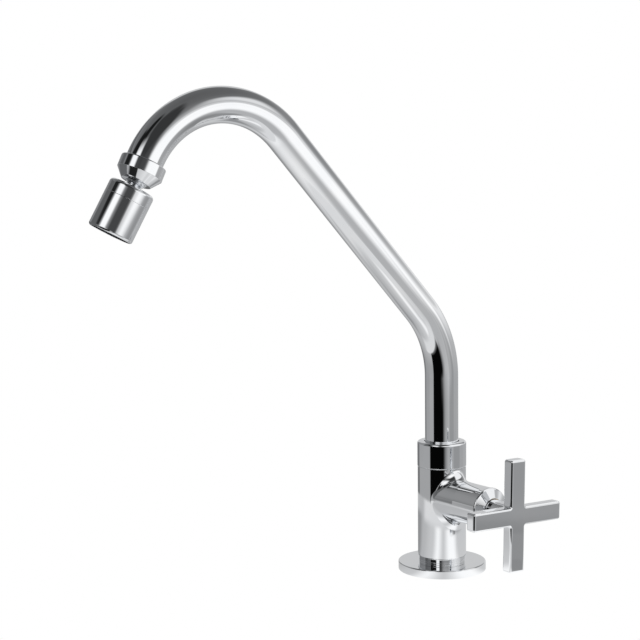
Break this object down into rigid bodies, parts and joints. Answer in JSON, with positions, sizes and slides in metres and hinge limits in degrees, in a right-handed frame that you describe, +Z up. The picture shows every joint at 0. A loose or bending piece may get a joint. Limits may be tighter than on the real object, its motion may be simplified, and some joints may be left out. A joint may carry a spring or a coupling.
{
  "type": "kitchen faucet",
  "caption": "Deck-mounted cold-water kitchen faucet with a bent swivel spout, a ball-jointed aerator head and a flat cross handle on a horizontal quarter-turn valve.",
  "frame": {"origin": "centre of the cover flange's underside, on the body's axis, in the plane of the deck", "axes": "+Z up along the body; -Y out along the valve stem towards the handle; -X the way the spout points at rest"},
  "size_m": [0.248, 0.0904, 0.3245],
  "materials": {
    "chrome": "polished chrome plate on brass",
    "brass": "machined brass",
    "steel": "stainless steel",
    "rubber": "black nitrile rubber",
    "acetal": "moulded white acetal",
    "dark_acetal": "moulded dark grey acetal",
    "ceramic": "lapped alumina"
  },
  "bodies": {
    "base": {"base_flange": "chrome", "flange_gasket": "rubber", "valve_body": "chrome", "threaded_shank": "brass", "shank_seal": "rubber", "swivel_collar": "chrome", "lower_slip_ring": "acetal", "upper_slip_ring": "acetal", "cartridge_body": "brass", "cartridge_seal": "rubber", "cartridge_o_ring": "rubber", "fixed_disc": "ceramic", "thrust_washer": "acetal", "bonnet_ring": "chrome"},
    "washers": {"rubber_washer": "rubber", "metal_washer": "steel"},
    "deck_nut": {"lock_nut": "brass"},
    "spout": {"spout_tube": "chrome", "spout_bushing": "brass", "spout_o_rings": "rubber", "tip_adapter": "brass", "ball_nut": "chrome"},
    "swing_ring": {"ball_seat_ring": "acetal", "ball_o_ring": "rubber"},
    "aerator_head": {"ball_stem": "chrome", "aerator_cap": "chrome", "aerator_gasket": "rubber", "aerator_shell": "chrome", "aerator_restrictor": "dark_acetal", "aerator_housing": "dark_acetal", "aerator_screens": "steel", "aerator_straightener": "dark_acetal"},
    "handle": {"cross_handle": "chrome", "handle_set_screw": "steel", "cartridge_stem": "brass", "stem_o_rings": "rubber", "stem_circlip": "steel", "moving_disc": "ceramic"}
  },
  "joints": [
    {"name": "spout_swivel", "type": "hinge", "parent": "base", "child": "spout", "pos_m": [0, 0, 0.0685], "axis": [0, 0, 1], "continuous": true},
    {"name": "handle_turn", "type": "hinge", "parent": "base", "child": "handle", "pos_m": [0, -0.0434, 0.0424], "axis": [0, -1, 0], "range_deg": [0, 90]},
    {"name": "outlet_swing", "type": "hinge", "parent": "spout", "child": "swing_ring", "pos_m": [-0.19207, 0, 0.22964], "axis": [-0.4415, 0, -0.8973], "continuous": true},
    {"name": "outlet_tilt", "type": "hinge", "parent": "swing_ring", "child": "aerator_head", "pos_m": [-0.19207, 0, 0.22964], "axis": [0.8861, 0.1571, -0.436], "range_deg": [-25.3, 10.7]},
    {"name": "washer_slide", "type": "slide", "parent": "base", "child": "washers", "axis": [0, 0, 1], "range_m": [-0.0146, 0.0164]},
    {"name": "lock_nut_turn", "type": "hinge", "parent": "washers", "child": "deck_nut", "pos_m": [0, 0, -0.0275], "axis": [0, 0, 1], "range_deg": [-2880, 3240]}
  ],
  "couplings": [
    {"joint": "washer_slide", "follows": "lock_nut_turn", "m_per_rad": 0.00028875}
  ]
}
